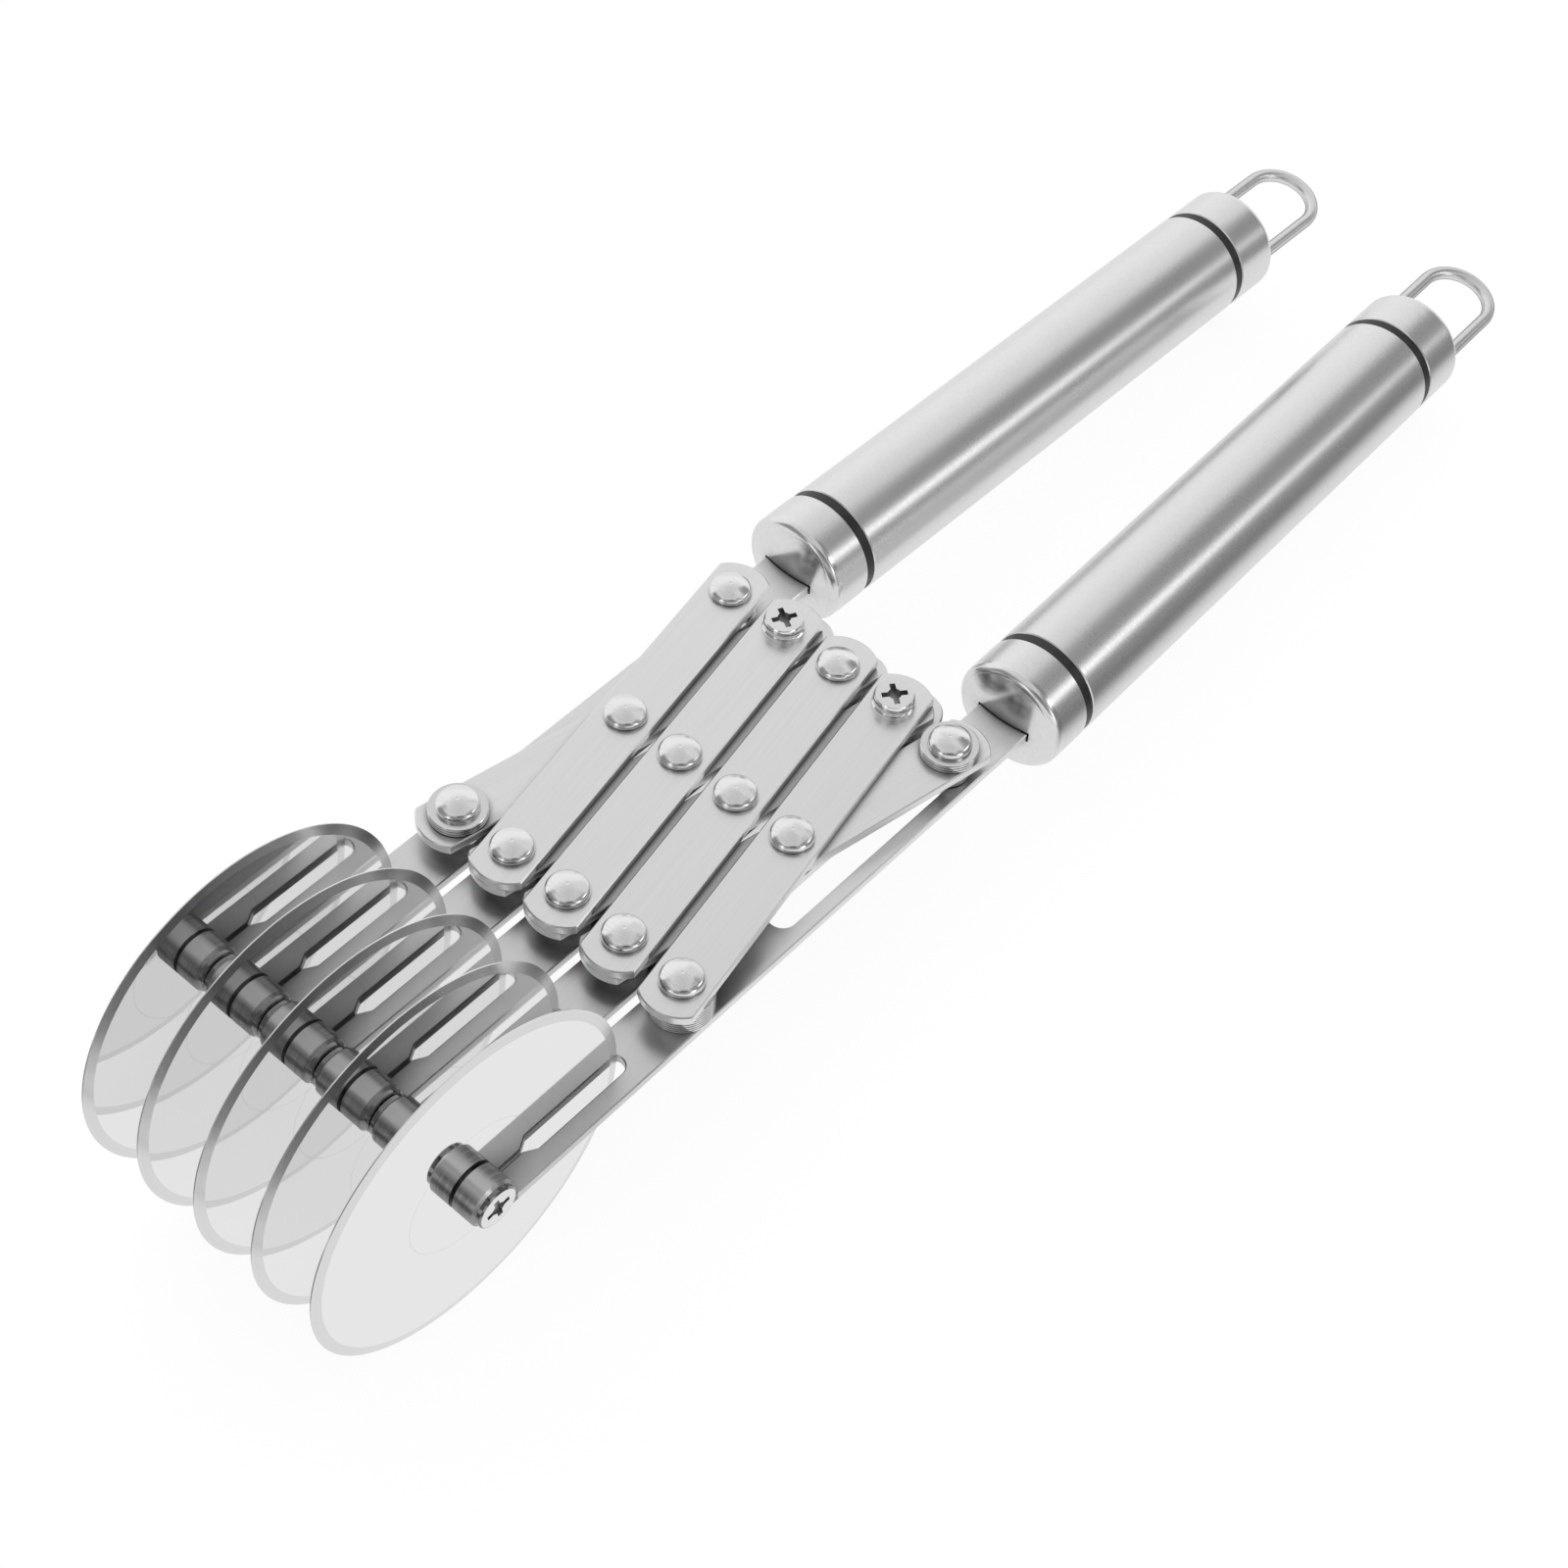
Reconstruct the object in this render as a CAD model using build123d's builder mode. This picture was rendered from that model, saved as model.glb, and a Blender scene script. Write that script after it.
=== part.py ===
from build123d import *
import os
from math import acos, asin, atan2, cos, degrees, radians, sin

os.makedirs("parts", exist_ok=True)

# An expandable pastry cutter: five cutting wheels on forked arms, spread evenly by lazy tongs.
# Millimetres. +X runs from the first arm to the last, +Y from the wheels to the handles, +Z up.
# The origin is under the middle of the tool, at the height of the wheels' lowest points.

# Linkage
arm_count = 5
arm_pitch = 14.8
pivot_reach = 40.0
bar_width = 12.2
bar_thickness = 2.0
bar_end_radius = 8.5
layer_gap = 0.1
spacer_height = 4.0

# Arms
arm_width = 12.4
arm_thickness = 2.0
edge_chamfer = 0.25
axle_reach = 55.2
fork_width = 4.6
fork_rear_reach = 16.2
fork_point_reach = 42.8
fork_point_length = 2.6
fork_slit_gap = 0.3
guide_width = 6.3
guide_front_reach = 25.6
guide_rear_play = 0.8
arm_tail = 9.5

# Knuckles rolled from the fork legs
knuckle_radius = 5.2
knuckle_gap = 0.45
knuckle_chamfer = 0.6
knuckle_seam = 0.25

# Cutting wheels and axles
wheel_radius = 37.5
wheel_thickness = 1.0
wheel_edge = 0.25
wheel_bevel = 2.15
running_clearance = 0.05
axle_head_radius = 4.6
axle_head_play = 0.2
axle_head_chamfer = 0.3
axle_thread_radius = 2.0
axle_thread_length = 7.5
axle_recess_depth = 0.9
axle_recess_turn = 9.0

# Rivets, screws and washers
pin_radius = 3.0
pivot_clearance = 0.1
dome_radius = 4.5
dome_height = 2.6
dome_wall = 0.5
dome_foot_radius = 4.1
dome_edge_radius = 1.6
dimple_radius = 0.4
dimple_depth = 0.15
tail_radius = 4.4
tail_height = 1.2
tail_chamfer = 0.5
collar_radius = 4.8
slide_gap = 0.3
washer_radius = 6.0
spacer_washer_radius = 6.5
washers_per_stack = 3
washers_under_bar = 9
washer_edge = 0.15
screw_flange_radius = 4.45
screw_flange_height = 1.2
screw_flange_chamfer = 0.2
screw_head_radius = 4.1
screw_belly_radius = 4.3
screw_top_radius = 3.9
screw_head_height = 2.2
screw_thread_radius = 1.5
screw_thread_length = 7.0
screw_recess_depth = 1.9
recess_span = 5.4
recess_width = 1.2
recess_core_radius = 1.4
left_screw_turn = 61.0
right_screw_turn = 52.0

# Handles
grip_radius = 12.7
grip_wall = 1.0
grip_toe_in = 1.3
ferrule_reach = 98.6
ferrule_length = 10.5
ferrule_bulge = 2.0
ferrule_edge = 1.6
joint_chamfer = 0.25
tang_length = 7.0
tang_clearance = 0.05
mouth_gap = 0.3
mouth_depth = 1.5
ring_width = 2.2
ring_recess = 0.2
grip_length = 129.4
spigot_length = 9.0
spigot_clearance = 0.05
cap_length = 12.2
cap_edge = 1.6
loop_wire_radius = 1.5
loop_half_span = 8.4
loop_straight = 19.8
loop_seat = 6.0
loop_roll = 10.0

# Where the driving sizes put things
bar_lean = degrees(asin(arm_pitch / (2 * pivot_reach)))
pivot_depth = 2 * pivot_reach * cos(radians(bar_lean))
wheel_bore = knuckle_radius - arm_thickness
axle_radius = wheel_bore - running_clearance
axle_head_height = (arm_pitch - arm_width - axle_head_play) / 2
knuckle_inner = wheel_thickness / 2 + knuckle_gap
knuckle_outer = arm_width / 2
spigot_radius = grip_radius - grip_wall - spigot_clearance

# Heights, from the wheels' lowest points up
axle_z = wheel_radius
arm_z = axle_z - knuckle_radius
arm_top_z = arm_z + arm_thickness
collar_top_z = arm_top_z + spacer_height
lower_bar_z = collar_top_z + layer_gap
lower_bar_top_z = lower_bar_z + bar_thickness
upper_bar_z = lower_bar_top_z + layer_gap
upper_bar_top_z = upper_bar_z + bar_thickness
grip_z = arm_z + arm_thickness / 2

# Distances along a handle, from the rim of its front face
ring_front = ferrule_length
grip_front = ring_front + ring_width
grip_rear = grip_front + grip_length
cap_front = grip_rear + ring_width
cap_rear = cap_front + cap_length

# Distances along the tool, with the front pivots placed so that the whole tool is centred
loop_arc_reach = ferrule_reach + (cap_rear + loop_straight) * cos(radians(grip_toe_in))
tool_rear_reach = loop_arc_reach + loop_half_span + loop_wire_radius
front_row_y = (axle_reach + wheel_radius - tool_rear_reach) / 2
axle_y = front_row_y - axle_reach
rear_row_y = front_row_y + pivot_depth
middle_row_y = (front_row_y + rear_row_y) / 2
ferrule_y = front_row_y + ferrule_reach
tang_end_y = ferrule_y + tang_length
guide_front_y = front_row_y + guide_front_reach
guide_rear_y = rear_row_y + guide_width / 2 + guide_rear_play


def arm_x(number):
    """Where an arm's middle is across the tool."""
    return (number - (arm_count + 1) / 2) * arm_pitch


def upright(x, y):
    """A sketch plane through a pivot, with the radius across and the height up."""
    return Plane(origin=(x, y, 0), x_dir=(1, 0, 0), z_dir=(0, -1, 0))


def keep(piece, label):
    """Names a finished piece and writes it."""
    piece.part.label = label
    export_step(piece.part, f"parts/{label}.step")


def make_arm(number):
    """A plate with a guide slot and a fork, whose two legs are rolled up into knuckles."""
    x = arm_x(number)
    outer = number in (1, arm_count)
    plate_front_y = axle_y + 1.2 * knuckle_radius
    plate_rear_y = tang_end_y if outer else guide_rear_y + arm_tail
    round_y = plate_rear_y - arm_width / 2
    slit = wheel_thickness / 2 + fork_slit_gap
    half_fork = fork_width / 2
    fork_rear_y = front_row_y - fork_rear_reach
    fork_point_y = front_row_y - fork_point_reach
    with BuildPart() as arm:
        with BuildSketch(Plane.XY.offset(arm_z)):
            straight_end_y = plate_rear_y if outer else round_y
            with Locations((x, (plate_front_y + straight_end_y) / 2)):
                Rectangle(arm_width, straight_end_y - plate_front_y)
            if not outer:
                with Locations((x, round_y)):
                    Circle(arm_width / 2)
            with Locations((x, (guide_front_y + guide_rear_y) / 2)):
                SlotOverall(guide_rear_y - guide_front_y, guide_width, rotation=90, mode=Mode.SUBTRACT)
            with Locations((x, front_row_y)):
                Circle(pin_radius + pivot_clearance, mode=Mode.SUBTRACT)
            with BuildLine():
                arc_y = fork_rear_y - half_fork
                taper_y = fork_point_y + fork_point_length
                Polyline(
                    (x + half_fork, arc_y),
                    (x + half_fork, taper_y),
                    (x + slit, fork_point_y),
                    (x + slit, plate_front_y),
                    (x - slit, plate_front_y),
                    (x - slit, fork_point_y),
                    (x - half_fork, taper_y),
                    (x - half_fork, arc_y),
                )
                ThreePointArc((x - half_fork, arc_y), (x, fork_rear_y), (x + half_fork, arc_y))
            make_face(mode=Mode.SUBTRACT)
        extrude(amount=arm_thickness)
        rim = arm.faces().sort_by(Axis.Z)[-1].outer_wire().edges()
        chamfer([edge for edge in rim if edge.center().Y > plate_front_y + arm_thickness], edge_chamfer)
        for start_x in (x - knuckle_outer, x + knuckle_inner):
            with BuildSketch(Plane.YZ.offset(start_x)):
                with BuildLine():
                    curl_radius = knuckle_radius - arm_thickness / 2
                    curl_end = degrees(asin((wheel_bore - knuckle_seam) / knuckle_radius))
                    Line((plate_front_y, grip_z), (axle_y, grip_z))
                    CenterArc((axle_y, axle_z), curl_radius, -90, -270 - curl_end)
                trace(line_width=arm_thickness)
            extrude(amount=knuckle_outer - knuckle_inner)
        for side in (-1, 1):
            with BuildSketch(Plane.XY.offset(axle_z)):
                with BuildLine():
                    rim_x = x + side * knuckle_outer
                    rim_y = axle_y + knuckle_radius
                    reach = 2 * knuckle_chamfer
                    Polyline(
                        (rim_x - side * reach, rim_y + knuckle_chamfer),
                        (rim_x + side * knuckle_chamfer, rim_y + knuckle_chamfer),
                        (rim_x + side * knuckle_chamfer, rim_y - reach),
                        close=True,
                    )
                make_face()
            revolve(axis=Axis((x, axle_y, axle_z), (1, 0, 0)), mode=Mode.SUBTRACT)
    return arm


def make_wheel(number):
    """A thin disc, ground to a narrow edge from both faces."""
    x = arm_x(number)
    with BuildPart() as wheel:
        with BuildSketch(Plane.XY.offset(axle_z)):
            with BuildLine():
                half = wheel_thickness / 2
                flat_y = axle_y + wheel_radius - wheel_bevel
                Polyline(
                    (x - half, axle_y + wheel_bore),
                    (x - half, flat_y),
                    (x - wheel_edge / 2, axle_y + wheel_radius),
                    (x + wheel_edge / 2, axle_y + wheel_radius),
                    (x + half, flat_y),
                    (x + half, axle_y + wheel_bore),
                    close=True,
                )
            make_face()
        revolve(axis=Axis((x, axle_y, axle_z), (1, 0, 0)))
    return wheel


def cross_recess(plane):
    """The outline of a cross recess on a screw head's face."""
    with BuildSketch(plane) as recess:
        Rectangle(recess_span, recess_width)
        Rectangle(recess_width, recess_span)
        Circle(recess_core_radius)
    return recess.sketch


def make_axle_half(number, side):
    """One half of a wheel's axle: the sleeve post on the -X side, its screw on the +X side."""
    x = arm_x(number)
    face_x = x + side * knuckle_outer
    head_x = face_x + side * axle_head_height
    if side < 0:
        stem_radius = axle_radius
        stem_end_x = x + knuckle_outer - axle_head_play
    else:
        stem_radius = axle_thread_radius
        stem_end_x = face_x - axle_thread_length
    with BuildPart() as half:
        with BuildSketch(Plane.XY.offset(axle_z)):
            with BuildLine():
                Polyline(
                    (head_x, axle_y),
                    (head_x, axle_y + axle_head_radius - axle_head_chamfer),
                    (head_x - side * axle_head_chamfer, axle_y + axle_head_radius),
                    (face_x, axle_y + axle_head_radius),
                    (face_x, axle_y + stem_radius),
                    (stem_end_x, axle_y + stem_radius),
                    (stem_end_x, axle_y),
                    close=True,
                )
            make_face()
        revolve(axis=Axis((x, axle_y, axle_z), (1, 0, 0)))
        turn = radians(axle_recess_turn)
        across = (0, cos(turn), sin(turn))
        head_plane = Plane(origin=(head_x, axle_y, axle_z), x_dir=across, z_dir=(side, 0, 0))
        extrude(cross_recess(head_plane), amount=-axle_recess_depth, mode=Mode.SUBTRACT)
        if side < 0:
            with BuildSketch(Plane(origin=(stem_end_x, axle_y, axle_z), x_dir=(0, 1, 0), z_dir=(1, 0, 0))):
                Circle(axle_thread_radius + running_clearance)
            extrude(amount=-axle_thread_length, mode=Mode.SUBTRACT)
    return half


def make_bar(middle_x, lean, bottom_z):
    """A flat bar with three pivot holes and ends rounded about the end pivots."""
    turn = radians(lean)
    plane = Plane(origin=(middle_x, middle_row_y, bottom_z), x_dir=(cos(turn), sin(turn), 0), z_dir=(0, 0, 1))
    with BuildPart() as bar:
        with BuildSketch(plane):
            Rectangle(bar_width, 2 * pivot_reach)
            with Locations((0, -pivot_reach), (0, pivot_reach)):
                Circle(bar_end_radius)
            Rectangle(bar_width, 2 * (pivot_reach + bar_end_radius), mode=Mode.INTERSECT)
            with Locations((0, -pivot_reach), (0, 0), (0, pivot_reach)):
                Circle(pin_radius + pivot_clearance, mode=Mode.SUBTRACT)
        extrude(amount=bar_thickness)
        chamfer(bar.faces().sort_by(Axis.Z)[-1].outer_wire().edges(), edge_chamfer)
    return bar


def tail(seat_z):
    """Outline of a rivet's closed end, from its middle up to the face that it is closed against."""
    low_z = seat_z - tail_height
    return [
        (0, low_z),
        (tail_radius - tail_chamfer, low_z),
        (tail_radius, low_z + tail_chamfer),
        (tail_radius, seat_z),
        (pin_radius, seat_z),
    ]


def collar(low_z):
    """Outline of the spacer shoulder under the bars."""
    return [
        (pin_radius, low_z),
        (collar_radius, low_z),
        (collar_radius, collar_top_z),
        (pin_radius, collar_top_z),
    ]


def make_rivet(x, y, stem, head_z):
    """A rivet with a polished dome head; the stem is its outline from the closed end up."""
    brow_z = head_z + dome_wall
    rise = dome_height - dome_wall
    edge_reach = dome_radius - dome_edge_radius
    crown_radius = (edge_reach**2 + rise**2 - dome_edge_radius**2) / (2 * (rise - dome_edge_radius))
    crown_z = brow_z + rise - crown_radius
    edge_turn = degrees(atan2(brow_z - crown_z, edge_reach))
    crown_turn = degrees(acos(dimple_radius / crown_radius)) - edge_turn
    with BuildPart() as rivet:
        with BuildSketch(upright(x, y)):
            with BuildLine():
                Polyline(*stem, (pin_radius, head_z), (dome_foot_radius, head_z), (dome_radius, brow_z))
                CenterArc((edge_reach, brow_z), dome_edge_radius, 0, edge_turn)
                crown = CenterArc((0, crown_z), crown_radius, edge_turn, crown_turn)
                Polyline(crown @ 1, (0, head_z + dome_height - dimple_depth), stem[0])
            make_face()
        revolve(axis=Axis((x, y, 0), (0, 0, 1)))
    return rivet


def make_washers(x, y, bottom_z, top_z, radius=washer_radius, count=washers_per_stack):
    """A stack of thin washers that fills the place of a missing bar."""
    hole_radius = pin_radius + pivot_clearance
    rim_radius = radius - washer_edge
    thickness = (top_z - bottom_z) / count
    outline = [(hole_radius, bottom_z), (rim_radius, bottom_z)]
    for layer in range(count):
        low_z = bottom_z + layer * thickness
        high_z = low_z + thickness
        outline += [(radius, low_z + washer_edge), (radius, high_z - washer_edge), (rim_radius, high_z)]
    outline.append((hole_radius, top_z))
    with BuildPart() as washers:
        with BuildSketch(upright(x, y)):
            with BuildLine():
                Polyline(*outline, close=True)
            make_face()
        revolve(axis=Axis((x, y, 0), (0, 0, 1)))
    return washers


def make_slide_post(x, y):
    """A sleeve nut that runs in the guide slot and passes up through both bars."""
    with BuildPart() as post:
        with BuildSketch(upright(x, y)):
            with BuildLine():
                Polyline(
                    *tail(arm_z - slide_gap),
                    *collar(arm_top_z + slide_gap),
                    (pin_radius, upper_bar_top_z),
                    (0, upper_bar_top_z),
                    close=True,
                )
            make_face()
        revolve(axis=Axis((x, y, 0), (0, 0, 1)))
        with BuildSketch(Plane.XY.offset(upper_bar_top_z)):
            with Locations((x, y)):
                Circle(screw_thread_radius + running_clearance)
        extrude(amount=-screw_thread_length - running_clearance, mode=Mode.SUBTRACT)
    return post


def make_rear_screw(x, y, turn):
    """A flat-topped pan-head screw with a flange and a cross recess."""
    flange_z = upper_bar_top_z + screw_flange_height
    belly_z = flange_z + screw_head_height / 2
    top_z = flange_z + screw_head_height
    with BuildPart() as screw:
        with BuildSketch(upright(x, y)):
            with BuildLine():
                Polyline(
                    (0, upper_bar_top_z - screw_thread_length),
                    (screw_thread_radius, upper_bar_top_z - screw_thread_length),
                    (screw_thread_radius, upper_bar_top_z),
                    (screw_flange_radius, upper_bar_top_z),
                    (screw_flange_radius, flange_z - screw_flange_chamfer),
                    (screw_flange_radius - screw_flange_chamfer, flange_z),
                    (screw_head_radius, flange_z),
                )
                ThreePointArc(
                    (screw_head_radius, flange_z),
                    (screw_belly_radius, belly_z),
                    (screw_top_radius, top_z),
                )
                Polyline(
                    (screw_top_radius, top_z),
                    (0, top_z),
                    (0, upper_bar_top_z - screw_thread_length),
                )
            make_face()
        revolve(axis=Axis((x, y, 0), (0, 0, 1)))
        head_plane = Plane(origin=(x, y, top_z), x_dir=(cos(turn), sin(turn), 0), z_dir=(0, 0, 1))
        extrude(cross_recess(head_plane), amount=-screw_recess_depth, mode=Mode.SUBTRACT)
    return screw


def grip_plane(number):
    """The level plane through a handle's axis: the radius across, the handle's length up."""
    toe = radians(grip_toe_in if number == 1 else -grip_toe_in)
    return Plane(origin=(arm_x(number), ferrule_y, grip_z), x_dir=(cos(toe), -sin(toe), 0), z_dir=(0, 0, 1))


def grip_axis(number):
    """A handle's axis, from its front face to the rear."""
    plane = grip_plane(number)
    return Axis(plane.origin, plane.y_dir)


def make_ferrule(number):
    """The handle's front end: a bulged polished face that the arm's tang enters, and a spigot."""
    face_radius = grip_radius - ferrule_edge
    diagonal = ferrule_edge * (1 - cos(radians(45)))
    with BuildPart() as ferrule:
        with BuildSketch(grip_plane(number)):
            with BuildLine():
                TangentArc((0, -ferrule_bulge), (face_radius, 0), tangent=(1, 0))
                ThreePointArc(
                    (face_radius, 0),
                    (grip_radius - diagonal, diagonal),
                    (grip_radius, ferrule_edge),
                )
                Polyline(
                    (grip_radius, ferrule_edge),
                    (grip_radius, ring_front - joint_chamfer),
                    (grip_radius - joint_chamfer, ring_front),
                    (spigot_radius, ring_front),
                    (spigot_radius, grip_front + spigot_length),
                    (0, grip_front + spigot_length),
                    (0, -ferrule_bulge),
                )
            make_face()
        revolve(axis=grip_axis(number))
        tang_end = (arm_x(number), tang_end_y, grip_z)
        with BuildSketch(Plane(origin=tang_end, x_dir=(1, 0, 0), z_dir=(0, -1, 0))):
            Rectangle(arm_width + 2 * tang_clearance, arm_thickness + 2 * tang_clearance)
        extrude(amount=tang_length + 2 * ferrule_bulge, mode=Mode.SUBTRACT)
        mouth_end = (arm_x(number), ferrule_y + mouth_depth, grip_z)
        with BuildSketch(Plane(origin=mouth_end, x_dir=(1, 0, 0), z_dir=(0, -1, 0))):
            Rectangle(arm_width + 2 * mouth_gap, arm_thickness + 2 * mouth_gap)
        extrude(amount=mouth_depth + 2 * ferrule_bulge, mode=Mode.SUBTRACT)
    return ferrule


def make_grip_tube(number):
    """The thin tube that the hand closes on."""
    with BuildPart() as tube:
        with BuildSketch(grip_plane(number)):
            with BuildLine():
                Polyline(
                    (grip_radius - grip_wall, grip_front),
                    (grip_radius - joint_chamfer, grip_front),
                    (grip_radius, grip_front + joint_chamfer),
                    (grip_radius, grip_rear - joint_chamfer),
                    (grip_radius - joint_chamfer, grip_rear),
                    (grip_radius - grip_wall, grip_rear),
                    close=True,
                )
            make_face()
        revolve(axis=grip_axis(number))
    return tube


def make_grip_rings(number):
    """The two black rings that close the joints at the ends of the tube."""
    with BuildPart() as rings:
        with BuildSketch(grip_plane(number)):
            ring_depth = grip_wall - ring_recess
            ring_radius = grip_radius - grip_wall + ring_depth / 2
            front = (ring_radius, ring_front + ring_width / 2)
            rear = (ring_radius, grip_rear + ring_width / 2)
            with Locations(front, rear):
                Rectangle(ring_depth, ring_width)
        revolve(axis=grip_axis(number))
    return rings


def loop_plane(number):
    """The plane of a hanging loop on the end cap's rear face: its legs apart across, its length up."""
    grip = grip_plane(number)
    roll = radians(loop_roll)
    across = grip.x_dir * cos(roll) - grip.z_dir * sin(roll)
    return Plane(origin=grip.origin + grip.y_dir * cap_rear, x_dir=across, z_dir=across.cross(grip.y_dir))


def make_end_cap(number):
    """The handle's closed rear end, with a spigot and two holes for the loop's legs."""
    diagonal = cap_edge * (1 - cos(radians(45)))
    with BuildPart() as cap:
        with BuildSketch(grip_plane(number)):
            with BuildLine():
                Polyline(
                    (grip_radius - cap_edge, cap_rear),
                    (0, cap_rear),
                    (0, grip_rear - spigot_length),
                    (spigot_radius, grip_rear - spigot_length),
                    (spigot_radius, cap_front),
                    (grip_radius - joint_chamfer, cap_front),
                    (grip_radius, cap_front + joint_chamfer),
                    (grip_radius, cap_rear - cap_edge),
                )
                ThreePointArc(
                    (grip_radius, cap_rear - cap_edge),
                    (grip_radius - diagonal, cap_rear - diagonal),
                    (grip_radius - cap_edge, cap_rear),
                )
            make_face()
        revolve(axis=grip_axis(number))
        loop = loop_plane(number)
        with BuildSketch(Plane(origin=loop.origin, x_dir=loop.x_dir, z_dir=loop.y_dir)):
            with Locations((-loop_half_span, 0), (loop_half_span, 0)):
                Circle(loop_wire_radius + spigot_clearance)
        extrude(amount=-loop_seat, mode=Mode.SUBTRACT)
    return cap


def make_hanging_loop(number):
    """A U of polished wire with both legs set into the end cap."""
    with BuildPart() as loop:
        with BuildLine(loop_plane(number)) as wire:
            Line((-loop_half_span, -loop_seat), (-loop_half_span, loop_straight))
            ThreePointArc(
                (-loop_half_span, loop_straight),
                (0, loop_straight + loop_half_span),
                (loop_half_span, loop_straight),
            )
            Line((loop_half_span, loop_straight), (loop_half_span, -loop_seat))
        with BuildSketch(Plane(origin=wire.line @ 0, z_dir=wire.line % 0)):
            Circle(loop_wire_radius)
        sweep(path=wire.line)
    return loop


# Arms, wheels and axles
for number in range(1, arm_count + 1):
    keep(make_arm(number), f"arm_{number}")
    keep(make_wheel(number), f"cutting_wheel_{number}")
    keep(make_axle_half(number, -1), f"axle_post_{number}")
    keep(make_axle_half(number, 1), f"axle_screw_{number}")

# Bars: each upper bar crosses the lower bar of the same number at a middle rivet
for number in range(1, arm_count):
    middle_x = arm_x(number) + arm_pitch / 2
    keep(make_bar(middle_x, bar_lean, upper_bar_z), f"top_bar_{number}")
    keep(make_bar(middle_x, -bar_lean, lower_bar_z), f"bottom_bar_{number}")
    middle_stem = tail(lower_bar_z)
    middle_rivet = make_rivet(middle_x, middle_row_y, middle_stem, upper_bar_top_z + layer_gap)
    keep(middle_rivet, f"middle_rivet_{number}")

# Front pivots: rivets closed on the arms, the last one on washers instead of a shoulder
for number in range(1, arm_count + 1):
    front_stem = tail(arm_z)
    if number < arm_count:
        front_stem += collar(arm_top_z)
    front_rivet = make_rivet(arm_x(number), front_row_y, front_stem, upper_bar_top_z + layer_gap)
    keep(front_rivet, f"front_rivet_{number}")

# Rear pivots: rivets and screws by turns, all running in the guide slots
for number in range(1, arm_count + 1):
    x = arm_x(number)
    if number % 2:
        rear_stem = tail(arm_z - slide_gap) + collar(arm_top_z + slide_gap)
        keep(make_rivet(x, rear_row_y, rear_stem, upper_bar_top_z), f"rear_rivet_{number}")
    else:
        keep(make_slide_post(x, rear_row_y), f"slide_post_{number}")
        screw_turn = radians(left_screw_turn if number < arm_count / 2 else right_screw_turn)
        keep(make_rear_screw(x, rear_row_y, screw_turn), f"rear_screw_{number}")

# Washers where an outer pivot has only one bar
first_x = arm_x(1)
last_x = arm_x(arm_count)
head_seat_z = upper_bar_top_z + layer_gap
keep(make_washers(first_x, front_row_y, upper_bar_z, head_seat_z), "front_washers_1")
spacer_stack = (spacer_washer_radius, washers_under_bar)
spacers = make_washers(last_x, front_row_y, arm_top_z, lower_bar_top_z, *spacer_stack)
keep(spacers, f"front_washers_{arm_count}")
keep(make_washers(first_x, rear_row_y, collar_top_z, lower_bar_top_z), "rear_washers_1")
keep(make_washers(last_x, rear_row_y, lower_bar_top_z, upper_bar_top_z), f"rear_washers_{arm_count}")

# Handles on the two outer arms
for number in (1, arm_count):
    keep(make_ferrule(number), f"ferrule_{number}")
    keep(make_grip_tube(number), f"grip_tube_{number}")
    keep(make_grip_rings(number), f"grip_rings_{number}")
    keep(make_end_cap(number), f"end_cap_{number}")
    keep(make_hanging_loop(number), f"hanging_loop_{number}")
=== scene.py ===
from math import atan2, cos, radians, sin

import bmesh
import bpy
from mathutils import Matrix, Vector


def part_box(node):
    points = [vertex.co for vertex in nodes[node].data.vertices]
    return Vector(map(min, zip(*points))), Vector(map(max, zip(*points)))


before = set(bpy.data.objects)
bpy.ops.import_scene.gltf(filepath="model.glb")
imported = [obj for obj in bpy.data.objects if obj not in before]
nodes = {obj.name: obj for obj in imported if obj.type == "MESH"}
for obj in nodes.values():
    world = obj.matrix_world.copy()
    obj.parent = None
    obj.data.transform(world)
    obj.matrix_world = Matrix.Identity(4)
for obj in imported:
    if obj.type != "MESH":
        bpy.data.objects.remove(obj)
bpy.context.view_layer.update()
scene = bpy.context.scene
arm_numbers = range(1, 6)
bar_numbers = range(1, 5)

# Places read from the solids, in metres
wheel_low, wheel_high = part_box("cutting_wheel_3")
axle_y = (wheel_low.y + wheel_high.y) / 2
axle_z = (wheel_low.z + wheel_high.z) / 2
wheel_radius = (wheel_high.z - wheel_low.z) / 2
cap_low, cap_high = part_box("end_cap_1")
ferrule_face_depth = 0.0033
ferrule_face_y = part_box("ferrule_1")[0].y + ferrule_face_depth

# Angles and sizes of the solids that the finishes follow, in radians and metres
bar_lean = radians(10.66)
grip_toe = radians(1.3)
bevel_start = wheel_radius - 0.00215
hub_ring_radius = 0.015
knuckle_reach = 0.006
crown_reach = 0.0035
recess_reach = 0.00285
axle_head_reach = 0.0042


def material(name):
    """A node material with its output and one Principled shader."""
    made = bpy.data.materials.new(name)
    made.use_nodes = True
    tree = made.node_tree
    return made, tree, tree.nodes["Principled BSDF"]


def feed(tree, node, socket, value):
    """Sets a socket to a value, or links another node's output into it."""
    if isinstance(value, bpy.types.NodeSocket):
        tree.links.new(value, node.inputs[socket])
    else:
        node.inputs[socket].default_value = value


def put(tree, kind, sockets=None, **values):
    """Adds a node, sets its properties, and sets or links its sockets."""
    node = tree.nodes.new(kind)
    for key, value in values.items():
        setattr(node, key, value)
    for socket, value in (sockets or {}).items():
        feed(tree, node, socket, value)
    return node


def calc(tree, operation, a, b=0.0):
    """One Math node on one or two numbers."""
    return put(tree, "ShaderNodeMath", {0: a, 1: b}, operation=operation).outputs[0]


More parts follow.
